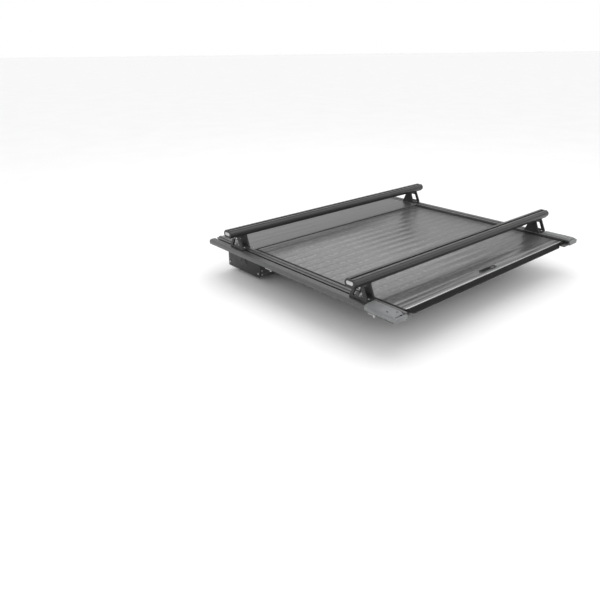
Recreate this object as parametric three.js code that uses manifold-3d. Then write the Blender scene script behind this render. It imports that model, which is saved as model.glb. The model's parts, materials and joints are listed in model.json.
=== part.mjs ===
// Roll-up slatted cover for a utility vehicle's load bed, with two load bars on its side rails.
// Millimetres. X is to the right, Y towards the cab and Z up. The origin is at the middle of the
// cover's rear edge, on the plane of the bed's sills, where the side rails stand.
import * as THREE from 'three';
import { mergeVertices } from 'three/addons/utils/BufferGeometryUtils.js';
import Module from 'manifold-3d';

// Driving dimensions
const GAP = 0.3;                    // between pieces that touch
const RAIL_INNER = 620;             // |x| of the side rail's inner edge
const RAIL_OUTER = 734;
const RAIL_REAR = -30;
const RAIL_FRONT = 1288;
const RAIL_FLOOR = 9;               // height of the ledge that the slats run on
const CHANNEL_WALL = 662;           // |x| of the wall at the bottom of the guide channel
const RAIL_SEAT = 23.2;             // height of the rail's wall where the canister lid rests
const LIP_INNER = 657;              // |x| of the rail's raised lip
const LIP_OUTER = 674;
const LIP_TOP = 30;
const TRACK_TOP = 25;               // top of the rail's T-track
const TRACK_X = 693;                // |x| of the T-track's middle
const TRACK_ROOF = 20;              // underside of the T-track's two lips
const TRACK_FLOOR = 10;
const SLOT_HALF = 6;                // half of a T-track's mouth
const SLOT_DEEP_HALF = 12;          // half of its undercut

const SLAT_TOP = 22;
const SLAT_BOTTOM = 10;
const SLAT_END = 654;               // |x| of a slat's end, inside the guide channel
const SLAT_PITCH = 56;
const SLAT_COUNT = 18;
const SLAT_SLACK = 0.8;             // between the tops of two slats, so that they can hinge
const SLAT_SKIN = 2.2;              // thickness of a slat's top
const END_SLAT_WIDTH = 54;
const POCKET_BOTTOM = 13.4;         // the groove in each slat's front that takes the next tongue
const POCKET_TOP = 18.2;
const POCKET_DEPTH = 5;

const CANISTER_REAR = 992;
const CANISTER_FRONT = 1285;
const CANISTER_BOTTOM = -150;
const SHEET = 3;                    // canister wall
const PLATE_X = 619.5;              // |x| of the outer face of a canister end plate
const PLATE_THICK = 4.5;
const LID_BOTTOM = RAIL_SEAT;
const LID_TOP = 27.5;
const LID_REAR = 988;

const DRUM_Y = 1140;
const DRUM_Z = -47;
const HUB_RADIUS = 55;
const DRUM_OUTER = 32;
const DRUM_INNER = 28;
const SHAFT_RADIUS = 8;

const REAR_BAR_Y = 184;
const FRONT_BAR_Y = 1058;
const BAR_BOTTOM = 95;
const BAR_TOP = 133;
const BAR_HALF = 762;               // half of the load bar's extrusion
const BAR_HALF_DEPTH = 30;
const BAR_SLOT_HALF = 5.5;          // half of the T-slot's mouth along the bar's top
const BAR_SLOT_DEEP_HALF = 10.5;    // half of its undercut
const BAR_SLOT_LIP = 4;
const BAR_SLOT_DEPTH = 12;
const BAR_WALL = 4;

const HANDLE_Y = 32;
const SLOT_LENGTH = 116;            // finger slot
const SLOT_WIDTH = 18;

// Materials
const satin = (color, roughness, metalness) =>
  new THREE.MeshStandardMaterial({ color, roughness, metalness });
const SLAT_BLACK = () => satin(0x3a3b3c, 0.42, 0.5);
const RAIL_BLACK = () => satin(0x2c2d2f, 0.5, 0.5);
const BAR_BLACK = () => satin(0x242527, 0.45, 0.4);
const PLASTIC_GREY = () => satin(0x6f7173, 0.6, 0.0);
const PLASTIC_BLACK = () => satin(0x1b1b1c, 0.55, 0.0);
const RUBBER = () => satin(0x111111, 0.85, 0.0);
const STEEL = () => satin(0xb9bbbd, 0.3, 0.9);
const RAW_ALUMINIUM = () => satin(0x9a9c9e, 0.4, 0.9);

// Solid modelling helpers
const wasm = await Module();
wasm.setup();

const AXIS_X = new THREE.Vector3(1, 0, 0);
const AXIS_Y = new THREE.Vector3(0, 1, 0);
const AXIS_Z = new THREE.Vector3(0, 0, 1);

function bare(geometry) {
  const copy = geometry.clone();
  copy.deleteAttribute('normal');
  copy.deleteAttribute('uv');
  return mergeVertices(copy, 1e-4);
}

function solid(geometry) {
  const merged = bare(geometry);
  return new wasm.Manifold(new wasm.Mesh({
    numProp: 3,
    vertProperties: new Float32Array(merged.attributes.position.array),
    triVerts: new Uint32Array(merged.index.array),
  }));
}

function shell(manifold) {
  const mesh = manifold.getMesh();
  const geometry = new THREE.BufferGeometry();
  geometry.setAttribute('position', new THREE.BufferAttribute(mesh.vertProperties, 3));
  geometry.setIndex(new THREE.BufferAttribute(mesh.triVerts, 1));
  geometry.computeVertexNormals();
  return geometry;
}

const joined = (...geometries) => shell(geometries.map(solid).reduce((a, b) => a.add(b)));

const cut = (geometry, ...cutters) =>
  shell(cutters.map(solid).reduce((a, b) => a.subtract(b), solid(geometry)));

const outline = (points) => new THREE.Shape(points.map(([a, b]) => new THREE.Vector2(a, b)));

// An outline extruded from 0 to depth, with through holes cut where it has any
function extruded(points, depth, holes = []) {
  const prism = (section, length) =>
    new THREE.ExtrudeGeometry(outline(section), { depth: length, bevelEnabled: false, steps: 1 });
  const cutters = holes.map((hole) => prism(hole, depth + 2).translate(0, 0, -1));
  return holes.length > 0 ? cut(prism(points, depth), ...cutters) : prism(points, depth);
}

// points are [y, z]
function alongX(points, x0, x1, holes) {
  const geometry = extruded(points, Math.abs(x1 - x0), holes);
  geometry.applyMatrix4(new THREE.Matrix4().makeBasis(AXIS_Y, AXIS_Z, AXIS_X));
  return geometry.translate(Math.min(x0, x1), 0, 0);
}

// points are [x, z]
function alongY(points, y0, y1, holes) {
  const geometry = extruded(points, y1 - y0, holes);
  geometry.applyMatrix4(
    new THREE.Matrix4().makeBasis(AXIS_X, AXIS_Z, AXIS_Y.clone().negate()));
  return geometry.translate(0, y1, 0);
}

// points are [x, y]
const alongZ = (points, z0, z1, holes) =>
  extruded(points, z1 - z0, holes).translate(0, 0, z0);

function box(x0, x1, y0, y1, z0, z1) {
  const geometry = new THREE.BoxGeometry(Math.abs(x1 - x0), y1 - y0, z1 - z0);
  return geometry.translate((x0 + x1) / 2, (y0 + y1) / 2, (z0 + z1) / 2);
}

function rodX(x0, x1, y, z, radius, sides = 20) {
  const geometry = new THREE.CylinderGeometry(radius, radius, Math.abs(x1 - x0), sides);
  return geometry.rotateZ(Math.PI / 2).translate((x0 + x1) / 2, y, z);
}

function rodZ(x, y, z0, z1, radius, sides = 20) {
  const geometry = new THREE.CylinderGeometry(radius, radius, z1 - z0, sides);
  return geometry.rotateX(Math.PI / 2).translate(x, y, (z0 + z1) / 2);
}

// A closed ring about an axis along X, between two radii
function ringX(x0, x1, y, z, inner, outer, sides = 28) {
  const profile = [[inner, x0], [outer, x0], [outer, x1], [inner, x1], [inner, x0]]
    .map(([r, h]) => new THREE.Vector2(r, h));
  const geometry = new THREE.LatheGeometry(profile, sides);
  return geometry.rotateZ(-Math.PI / 2).translate(0, y, z);
}

// Points on an arc, in degrees, for outlines
function arc(cx, cy, radius, from, to, steps) {
  return Array.from({ length: steps + 1 }, (_, i) => {
    const angle = THREE.MathUtils.degToRad(from + (to - from) * i / steps);
    return [cx + radius * Math.cos(angle), cy + radius * Math.sin(angle)];
  });
}

const stadium = (cx, cy, length, width, steps = 8) => [
  ...arc(cx + (length - width) / 2, cy, width / 2, -90, 90, steps),
  ...arc(cx - (length - width) / 2, cy, width / 2, 90, 270, steps),
];

const cover = new THREE.Group();

function add(name, geometry, material) {
  const mesh = new THREE.Mesh(geometry, material);
  mesh.name = name;
  cover.add(mesh);
}

const SIDES = [['left', -1], ['right', 1]];
const mirrored = (points, side) => points.map(([u, z]) => [side * u, z]);

// Side rails: guide channel for the slats inside, T-track on top, sloping flange outside
const RAIL_SECTION = [
  [RAIL_INNER, 0], [RAIL_OUTER, 0],
  [RAIL_OUTER, TRACK_TOP - 7], [RAIL_OUTER - 3, TRACK_TOP - 2.5], [RAIL_OUTER - 8, TRACK_TOP],
  [TRACK_X + SLOT_HALF, TRACK_TOP], [TRACK_X + SLOT_HALF, TRACK_ROOF],
  [TRACK_X + SLOT_DEEP_HALF, TRACK_ROOF], [TRACK_X + SLOT_DEEP_HALF, TRACK_FLOOR],
  [TRACK_X - SLOT_DEEP_HALF, TRACK_FLOOR], [TRACK_X - SLOT_DEEP_HALF, TRACK_ROOF],
  [TRACK_X - SLOT_HALF, TRACK_ROOF], [TRACK_X - SLOT_HALF, TRACK_TOP],
  [LIP_OUTER, TRACK_TOP], [LIP_OUTER - 1.5, LIP_TOP - 1.5], [LIP_OUTER - 4, LIP_TOP],
  [LIP_INNER + 5, LIP_TOP], [LIP_INNER + 1.5, LIP_TOP - 1.2], [LIP_INNER, LIP_TOP - 3.5],
  [LIP_INNER, RAIL_SEAT], [CHANNEL_WALL, RAIL_SEAT], [CHANNEL_WALL, RAIL_FLOOR],
  [RAIL_INNER, RAIL_FLOOR],
];

// The seal hangs from the lip and its thin edge wipes the slats' tops
const SEAL_ROOT = LIP_INNER - GAP;
const SEAL_EDGE = 633;
const SEAL_SECTION = [
  [SEAL_ROOT, 23.4], [SEAL_ROOT, 26.2], [SEAL_ROOT - 6, 27], [SEAL_EDGE + 9, 25.4],
  [SEAL_EDGE + 1, 23.2], [SEAL_EDGE, SLAT_TOP + 0.4], [SEAL_EDGE + 7, SLAT_TOP + 0.8],
];
const SEAL_REAR = -8;

function sideRail(name, side) {
  add(`${name}_rail`, alongY(mirrored(RAIL_SECTION, side), RAIL_REAR, RAIL_FRONT), RAIL_BLACK());
  add(`${name}_side_seal`,
    alongY(mirrored(SEAL_SECTION, side), SEAL_REAR, LID_REAR - GAP), RUBBER());
}

// Rail end cover: a smooth moulding over the rear of the rail, with a hole for its screw
const END_COVER_FRONT = 128;
const END_COVER_REAR = -38;
const COVER_OUTER = RAIL_OUTER + 2.5;
const COVER_TOP = 33.5;
const COVER_SHOULDERS = [[COVER_OUTER, 20], [733.5, 26.5], [727, 30.5]];
const COVER_SCREW_Y = -8;
const COVER_SCREW_RADIUS = 4.2;

function railEndCover(name, side) {
  const inside = TRACK_TOP + GAP;
  const beside = RAIL_OUTER + 0.4;
  const body = alongY(mirrored([
    [675.5, inside], [726.2, inside], [731.4, 22.8], [beside, 18.2], [beside, 6],
    [COVER_OUTER, 6], ...COVER_SHOULDERS, [715, COVER_TOP - 1], [686, COVER_TOP], [677, 31.5],
  ], side), END_COVER_REAR, END_COVER_FRONT);
  const nose = alongY(mirrored([
    [664, 1], [COVER_OUTER, 1], ...COVER_SHOULDERS, [664, 30.5],
  ], side), END_COVER_REAR, RAIL_REAR - GAP);
  const slopeRear = END_COVER_REAR - 2;
  const slope = alongX([[slopeRear, 20], [-2, 34], [-2, 40], [slopeRear, 40]], -760, 760);
  const screwHole = rodZ(side * TRACK_X, COVER_SCREW_Y, TRACK_ROOF, 45, COVER_SCREW_RADIUS, 16);
  add(`${name}_rail_end_cover`, cut(joined(body, nose), slope, screwHole), PLASTIC_GREY());
}

// Sill clamp: a web on the rail's inner edge, a jaw under the sill and a screw up to its pad
const CLAMP_WEB = RAIL_INNER - 0.5; // |x| of the web's outer face
const CLAMP_TOP = 8;
const JAW_TOP = -38;
const JAW_BOTTOM = -46;
const JAW_TIP = 668;
const CLAMP_HALF_WIDTH = 20;
const CLAMP_SCREW_X = 648;
const REAR_CLAMP_Y = 150;
const FRONT_CLAMP_Y = 860;

function sillClamp(name, side, y) {
  const x = side * CLAMP_SCREW_X;
  const jaw = alongY(mirrored([
    [CLAMP_WEB - 7.5, CLAMP_TOP], [CLAMP_WEB - 7.5, JAW_BOTTOM], [JAW_TIP, JAW_BOTTOM],
    [JAW_TIP, JAW_TOP], [CLAMP_WEB, JAW_TOP], [CLAMP_WEB, CLAMP_TOP],
  ], side), y - CLAMP_HALF_WIDTH, y + CLAMP_HALF_WIDTH);
  const screw = rodZ(x, y, JAW_BOTTOM - 16, -14, 5, 16);
  const pad = rodZ(x, y, -17, -12, 11, 18);
  const lockNut = rodZ(x, y, JAW_BOTTOM - 8, JAW_BOTTOM - 0.5, 8.5, 6);
  add(`${name}_sill_clamp`, joined(jaw, screw, pad, lockNut), RAW_ALUMINIUM());
}

for (const [name, side] of SIDES) {
  sideRail(name, side);
  railEndCover(name, side);
  sillClamp(`${name}_rear`, side, REAR_CLAMP_Y);
  sillClamp(`${name}_front`, side, FRONT_CLAMP_Y);
}

// One slat, hollow and open at its ends, with its rear edge at y0. Its tongue reaches into the
// pocket of the slat behind, and a fine groove runs along the middle of its top.
const TONGUE_SLACK = 1;             // all round a tongue in its pocket
const tongueReach = POCKET_DEPTH - TONGUE_SLACK;

// The front edge of a slat at y1: the pocket, then the rounded top corner
const pocketEdge = (y1) => [
  [y1, SLAT_BOTTOM + 1], [y1, POCKET_BOTTOM], [y1 - POCKET_DEPTH, POCKET_BOTTOM],
  [y1 - POCKET_DEPTH, POCKET_TOP], [y1, POCKET_TOP],
  [y1, SLAT_TOP - 1.1], [y1 - 0.5, SLAT_TOP - 0.3], [y1 - 1.4, SLAT_TOP],
];

function slatOutline(y0) {
  const y1 = y0 + SLAT_PITCH - SLAT_SLACK;
  const middle = (y0 + y1) / 2;
  return [
    [y0 + 2, SLAT_BOTTOM], [y1 - 1, SLAT_BOTTOM], ...pocketEdge(y1),
    [middle + 1.2, SLAT_TOP], [middle, SLAT_TOP - 1], [middle - 1.2, SLAT_TOP],
    [y0 + 1.4, SLAT_TOP], [y0 + 0.5, SLAT_TOP - 0.3], [y0, SLAT_TOP - 1.1],
    [y0, POCKET_TOP - TONGUE_SLACK], [y0 - tongueReach, POCKET_TOP - TONGUE_SLACK],
    [y0 - tongueReach, POCKET_BOTTOM + TONGUE_SLACK], [y0, POCKET_BOTTOM + TONGUE_SLACK],
    [y0, SLAT_BOTTOM + 1.5],
  ];
}

function slatHollows(y0) {
  const y1 = y0 + SLAT_PITCH - SLAT_SLACK;
  const middle = (y0 + y1) / 2;
  const roof = SLAT_TOP - SLAT_SKIN;
  const floor = SLAT_BOTTOM + 1.6;
  const hollow = (from, to) => [[from, floor], [to, floor], [to, roof], [from, roof]];
  return [hollow(y0 + 2.5, middle - 1), hollow(middle + 1, y1 - POCKET_DEPTH - 2)];
}

for (let i = 0; i < SLAT_COUNT; i++) {
  const y0 = END_SLAT_WIDTH + i * SLAT_PITCH;
  const number = String(i + 1).padStart(2, '0');
  add(`slat_${number}`,
    alongX(slatOutline(y0), -SLAT_END, SLAT_END, slatHollows(y0)), SLAT_BLACK());
}

// End slat: an open-bottomed channel that houses the latch, with solid ends in the guide channels
const END_SLAT_DEEP = 606;          // |x| where the deep channel section ends
const END_SLAT_FLOOR = -2;
const END_SLAT_ROOF = 17.5;         // underside of its top
const LATCH_Y = 14;
const LATCH_Z = 13.8;
const LATCH_RADIUS = 3;
const LATCH_INNER = 66;             // |x| of a latch bolt's two ends
const LATCH_OUTER = 660;

function endSlat() {
  const y1 = END_SLAT_WIDTH - SLAT_SLACK;
  const frontWall = y1 - POCKET_DEPTH - 0.6;
  const upper = [
    [frontWall, SLAT_BOTTOM + 1], ...pocketEdge(y1),
    [2.6, SLAT_TOP], [1, SLAT_TOP - 0.7], [0, SLAT_TOP - 2.4],
  ];
  const channel = alongX([
    [0, END_SLAT_FLOOR], [3, END_SLAT_FLOOR], [3, END_SLAT_ROOF], [frontWall - 2.4, END_SLAT_ROOF],
    [frontWall - 2.4, END_SLAT_FLOOR], [frontWall, END_SLAT_FLOOR], ...upper,
  ], -END_SLAT_DEEP, END_SLAT_DEEP);
  const ends = SIDES.map(([, side]) => alongX([
    [0, SLAT_BOTTOM], [frontWall, SLAT_BOTTOM], ...upper,
  ], side * (END_SLAT_DEEP - 8), side * SLAT_END));
  const slot = alongZ(stadium(0, HANDLE_Y, SLOT_LENGTH, SLOT_WIDTH), 0, 40);
  const boltHoles = SIDES.map(([, side]) =>
    rodX(side * 560, side * 700, LATCH_Y, LATCH_Z, LATCH_RADIUS + 0.5, 16));
  add('end_slat', cut(joined(channel, ...ends), slot, ...boltHoles), SLAT_BLACK());
}

// The lever lies under the finger slot and turns about its thick front edge
const LEVER_REAR = 16;
const LEVER_FRONT = 43;
const LEVER_HALF = 52;

function handleParts() {
  const rim = alongZ(stadium(0, HANDLE_Y, SLOT_LENGTH + 9, SLOT_WIDTH + 9),
    SLAT_TOP + GAP, SLAT_TOP + 1.6,
    [stadium(0, HANDLE_Y, SLOT_LENGTH - 1, SLOT_WIDTH - 1)]);
  add('handle_bezel', rim, PLASTIC_BLACK());

  const lever = alongX([
    [LEVER_REAR, 3.5], [LEVER_REAR, 6], [LEVER_FRONT - 5, 9], [LEVER_FRONT - 5, 12.5],
    [LEVER_FRONT, 12.5], [LEVER_FRONT, 6.5], [LEVER_FRONT - 5, 6.5],
  ], -LEVER_HALF, LEVER_HALF);
  add('handle_lever', lever, PLASTIC_BLACK());

  for (const [name, side] of SIDES) {
    const bolt = rodX(side * LATCH_INNER, side * LATCH_OUTER, LATCH_Y, LATCH_Z, LATCH_RADIUS, 14);
    add(`${name}_latch_bolt`, bolt, STEEL());
  }
}

// A strip down the end slat's rear face, with a bulb that meets the tailgate
const TAIL_SEAL_HALF = 610;
const TAIL_SEAL_TOP = 17;
const TAIL_SEAL_SECTION = [
  [-GAP, TAIL_SEAL_TOP], [-GAP, -8], [-4, -12], [-8.5, -9], [-10, -3], [-8, 3], [-4.5, 8],
  [-3.5, TAIL_SEAL_TOP],
];

endSlat();
handleParts();
add('tail_seal', alongX(TAIL_SEAL_SECTION, -TAIL_SEAL_HALF, TAIL_SEAL_HALF), RUBBER());

// Canister at the cab end: folded tray, two end plates, lid with its wiper, and drain spigots
const CHAMFER = 12;                 // along the tray's lower rear edge
const TRAY_LIP = 7;                 // height of the lip under the slats
const TRAY_FLANGE = 14;             // depth of the flange under the lid
const TRAY_HALF = PLATE_X - PLATE_THICK - GAP;
const DRAIN_X = 560;
const DRAIN_Y = 1262;
const DRAIN_HOLE = 9;
const SPIGOT_BORE = 6;
const SPIGOT_FLANGE = 15;
const SPIGOT_LENGTH = 26;

function canisterTray() {
  const flangeTop = LID_BOTTOM - GAP;
  const tray = alongX([
    [CANISTER_REAR, TRAY_LIP], [CANISTER_REAR, CANISTER_BOTTOM + CHAMFER],
    [CANISTER_REAR + CHAMFER, CANISTER_BOTTOM], [CANISTER_FRONT, CANISTER_BOTTOM],
    [CANISTER_FRONT, flangeTop], [CANISTER_FRONT - TRAY_FLANGE, flangeTop],
    [CANISTER_FRONT - TRAY_FLANGE, flangeTop - SHEET], [CANISTER_FRONT - SHEET, flangeTop - SHEET],
    [CANISTER_FRONT - SHEET, CANISTER_BOTTOM + SHEET],
    [CANISTER_REAR + CHAMFER + 1, CANISTER_BOTTOM + SHEET],
    [CANISTER_REAR + SHEET, CANISTER_BOTTOM + CHAMFER + 1],
    [CANISTER_REAR + SHEET, TRAY_LIP - SHEET], [CANISTER_REAR + CHAMFER, TRAY_LIP - SHEET],
    [CANISTER_REAR + CHAMFER, TRAY_LIP],
  ], -TRAY_HALF, TRAY_HALF);
  const drains = SIDES.map(([, side]) => rodZ(side * DRAIN_X, DRAIN_Y,
    CANISTER_BOTTOM - 1, CANISTER_BOTTOM + SHEET + 1, DRAIN_HOLE, 18));
  add('canister_tray', cut(tray, ...drains), RAIL_BLACK());
}

function canisterEnd(name, side) {
  const plateTop = RAIL_FLOOR - GAP;
  add(`${name}_canister_end_plate`, alongX([
    [CANISTER_REAR, plateTop], [CANISTER_REAR, CANISTER_BOTTOM + CHAMFER],
    [CANISTER_REAR + CHAMFER, CANISTER_BOTTOM], [CANISTER_FRONT, CANISTER_BOTTOM],
    [CANISTER_FRONT, plateTop],
  ], side * PLATE_X, side * (PLATE_X - PLATE_THICK)), PLASTIC_BLACK());

  const ring = (z0, z1, radius) => ringX(z0, z1, 0, 0, SPIGOT_BORE, radius, 20)
    .rotateY(-Math.PI / 2).translate(side * DRAIN_X, DRAIN_Y, 0);
  add(`${name}_drain_spigot`, joined(
    ring(CANISTER_BOTTOM - SPIGOT_LENGTH, CANISTER_BOTTOM + 1, DRAIN_HOLE - GAP),
    ring(CANISTER_BOTTOM - 4, CANISTER_BOTTOM - GAP, SPIGOT_FLANGE),
  ), PLASTIC_BLACK());
}

function canisterLid() {
  const lidHalf = LIP_INNER - GAP;
  add('canister_lid', alongX([
    [LID_REAR, LID_BOTTOM + 0.8], [LID_REAR + 0.8, LID_BOTTOM], [RAIL_FRONT, LID_BOTTOM],
    [RAIL_FRONT, LID_TOP - 1], [RAIL_FRONT - 1, LID_TOP], [LID_REAR + 6, LID_TOP],
    [LID_REAR + 1, LID_TOP - 1.4],
  ], -lidHalf, lidHalf), SLAT_BLACK());

  const wiperHalf = SEAL_EDGE - 2;
  add('lid_wiper', alongX([
    [LID_REAR - 4, SLAT_TOP + 0.4], [LID_REAR - GAP, SLAT_TOP + 0.8],
    [LID_REAR - GAP, LID_TOP - 2], [LID_REAR - 2, LID_TOP - 2.4],
  ], -wiperHalf, wiperHalf), RUBBER());
}

// Drum: a tube with two hub discs on a fixed shaft, and the torsion spring that balances it
const DRUM_HALF = 600;
const HUB_X = 560;
const HUB_HALF = 5;                 // half of a hub disc's thickness
const BUSH_LENGTH = 12;
const SPRING_WIRE = 2.6;
const SPRING_RADIUS = 18;
const SPRING_TURNS = 12;
const SPRING_START = -560;
const SPRING_LENGTH = 300;

function springWire() {
  class Helix extends THREE.Curve {
    getPoint(t, target = new THREE.Vector3()) {
      const angle = t * SPRING_TURNS * 2 * Math.PI;
      return target.set(SPRING_START + t * SPRING_LENGTH,
        DRUM_Y + SPRING_RADIUS * Math.cos(angle), DRUM_Z + SPRING_RADIUS * Math.sin(angle));
    }
  }
  const section = new THREE.Shape(arc(0, 0, SPRING_WIRE, 0, 300, 5).map(([a, b]) =>
    new THREE.Vector2(a, b)));
  return new THREE.ExtrudeGeometry(section,
    { steps: SPRING_TURNS * 12, extrudePath: new Helix(), bevelEnabled: false });
}

function drum() {
  const tube = ringX(-DRUM_HALF, DRUM_HALF, DRUM_Y, DRUM_Z, DRUM_INNER, DRUM_OUTER);
  const hubs = SIDES.map(([, side]) => ringX(side * HUB_X - HUB_HALF, side * HUB_X + HUB_HALF,
    DRUM_Y, DRUM_Z, DRUM_OUTER - 2, HUB_RADIUS, 36));
  add('drum', joined(tube, ...hubs), RAW_ALUMINIUM());
  for (const [name, side] of SIDES) {
    const middle = side * (DRUM_HALF - 2 - BUSH_LENGTH / 2);
    add(`${name}_drum_bush`, ringX(middle - BUSH_LENGTH / 2, middle + BUSH_LENGTH / 2,
      DRUM_Y, DRUM_Z, SHAFT_RADIUS + 2 * GAP, DRUM_INNER - 2 * GAP), PLASTIC_BLACK());
  }
  add('drum_shaft', rodX(-TRAY_HALF, TRAY_HALF, DRUM_Y, DRUM_Z, SHAFT_RADIUS), STEEL());
  add('torsion_spring', springWire(), STEEL());
}

canisterTray();
for (const [name, side] of SIDES) {
  canisterEnd(name, side);
}
canisterLid();
drum();

// Load bars: a wide extrusion with rounded flanks and a T-slot along its top, on two legs
const FLANK_RADIUS = 18;

function barOutline(y) {
  const top = BAR_TOP;
  const bottom = BAR_BOTTOM;
  const roof = top - BAR_SLOT_LIP;
  const floor = top - BAR_SLOT_DEPTH;
  const frontFlank = arc(y + BAR_HALF_DEPTH - FLANK_RADIUS, (top + bottom) / 2,
    FLANK_RADIUS, -68, 68, 7);
  const rearFlank = frontFlank.map(([a, b]) => [2 * y - a, b]).reverse();
  return [
    [y - 22, bottom], [y + 22, bottom], ...frontFlank, [y + 20, top],
    [y + BAR_SLOT_HALF, top], [y + BAR_SLOT_HALF, roof],
    [y + BAR_SLOT_DEEP_HALF, roof], [y + BAR_SLOT_DEEP_HALF, floor],
    [y - BAR_SLOT_DEEP_HALF, floor], [y - BAR_SLOT_DEEP_HALF, roof],
    [y - BAR_SLOT_HALF, roof], [y - BAR_SLOT_HALF, top],
    [y - 20, top], ...rearFlank,
  ];
}

// Three long hollows: one in each flank and one below the slot, with webs between them
function barHollows(y) {
  const web = BAR_SLOT_DEEP_HALF + 3;
  const shoulder = 18;
  const flank = BAR_HALF_DEPTH - BAR_WALL;
  const low = BAR_BOTTOM + BAR_WALL;
  const high = BAR_TOP - BAR_WALL;
  const inFlank = (s) => [
    [y + s * web, low], [y + s * shoulder, low], [y + s * flank, low + 10],
    [y + s * flank, high - 10], [y + s * shoulder, high], [y + s * web, high],
  ];
  const underSlot = BAR_TOP - BAR_SLOT_DEPTH - 3.5;
  const middle = [
    [y - BAR_SLOT_DEEP_HALF, low], [y + BAR_SLOT_DEEP_HALF, low],
    [y + BAR_SLOT_DEEP_HALF, underSlot], [y - BAR_SLOT_DEEP_HALF, underSlot],
  ];
  return [inFlank(1), inFlank(-1), middle];
}

const LEG_INNER = 658;              // |x| of the inner cheek's inner face
const LEG_OUTER = 716;
const CHEEK = 9;                    // thickness of a leg's cheek
const FOOT_INNER = 675.5;
const FOOT_HALF = 50;               // half of the foot's length along the rail
const FOOT_TOP = 36;
const WEB_HALF = 44;                // half of the inner cheek's length
const SADDLE_TOP = BAR_BOTTOM - GAP;
const BOLT_RADIUS = 4.8;

// Leg: a foot on the track, a tapered cheek inside, an open frame outside and a saddle on top
function leg(side, y) {
  const plate = (u0, u1, points, holes) => alongX(points, side * u0, side * u1, holes);
  const [near, far] = [y - FOOT_HALF, y + FOOT_HALF];
  const overLip = LIP_TOP + 1;
  const foot = box(side * FOOT_INNER, side * LEG_OUTER, near, far, TRACK_TOP + GAP, FOOT_TOP - 3);
  const bridge = box(side * LEG_INNER, side * LEG_OUTER, y - WEB_HALF, y + WEB_HALF,
    overLip, FOOT_TOP);
  const inner = plate(LEG_INNER, LEG_INNER + CHEEK, [
    [y - WEB_HALF, overLip], [y + WEB_HALF, overLip], [y + WEB_HALF - 4, FOOT_TOP + 2],
    [y + 16, SADDLE_TOP], [y - 16, SADDLE_TOP], [y - WEB_HALF + 4, FOOT_TOP + 2],
  ]);
  const window = [[y - 31, 41], [y + 31, 41], [y + 14, 76], [y - 14, 76]];
  const outer = plate(LEG_OUTER - CHEEK, LEG_OUTER, [
    [near, TRACK_TOP + 1], [far, TRACK_TOP + 1], [far, FOOT_TOP], [y + 21, SADDLE_TOP],
    [y - 21, SADDLE_TOP], [near, FOOT_TOP],
  ], [window]);
  const saddle = box(side * LEG_INNER, side * LEG_OUTER, y - 20, y + 20, SADDLE_TOP - 9, SADDLE_TOP);
  const boltHole = rodZ(side * TRACK_X, y, TRACK_ROOF, 60, BOLT_RADIUS + 2 * GAP, 16);
  return cut(joined(foot, bridge, inner, outer, saddle), boltHole);
}

// T-bolt whose head is held in the track, with the washer and nut that clamp the foot
function clampBolt(side, y) {
  const x = side * TRACK_X;
  const headHalf = SLOT_DEEP_HALF - 1;
  const washerTop = FOOT_TOP + GAP + 2;
  return joined(
    box(x - headHalf, x + headHalf, y - 10, y + 10, TRACK_FLOOR + 3, TRACK_ROOF - 0.4),
    rodZ(x, y, TRACK_FLOOR + 4, 54, BOLT_RADIUS, 14),
    rodZ(x, y, FOOT_TOP + GAP, washerTop, 10, 18),
    rodZ(x, y, washerTop - GAP, washerTop + 7.7, 9, 6),
  );
}

const CAP_THICK = 4.2;

function loadBar(name, y) {
  add(`${name}_bar`, alongX(barOutline(y), -BAR_HALF, BAR_HALF, barHollows(y)), BAR_BLACK());
  const outsideSlot = ([a]) => Math.abs(a - y) > BAR_SLOT_DEEP_HALF;
  const capOutline = barOutline(y).filter(outsideSlot);
  for (const [sideName, side] of SIDES) {
    add(`${name}_bar_${sideName}_end_cap`,
      alongX(capOutline, side * (BAR_HALF + GAP), side * (BAR_HALF + GAP + CAP_THICK)),
      PLASTIC_GREY());
    add(`${name}_bar_${sideName}_leg`, leg(side, y), BAR_BLACK());
    add(`${name}_bar_${sideName}_clamp_bolt`, clampBolt(side, y), STEEL());
  }
}

loadBar('rear', REAR_BAR_Y);
loadBar('front', FRONT_BAR_Y);

export default cover;
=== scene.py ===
"""Looks of a roll-up slatted bed cover with two load bars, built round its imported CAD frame.
Metres. X is to the right, Y towards the cab and Z up."""
import json
import math

import bmesh
import bpy
from mathutils import Matrix, Vector


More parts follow.
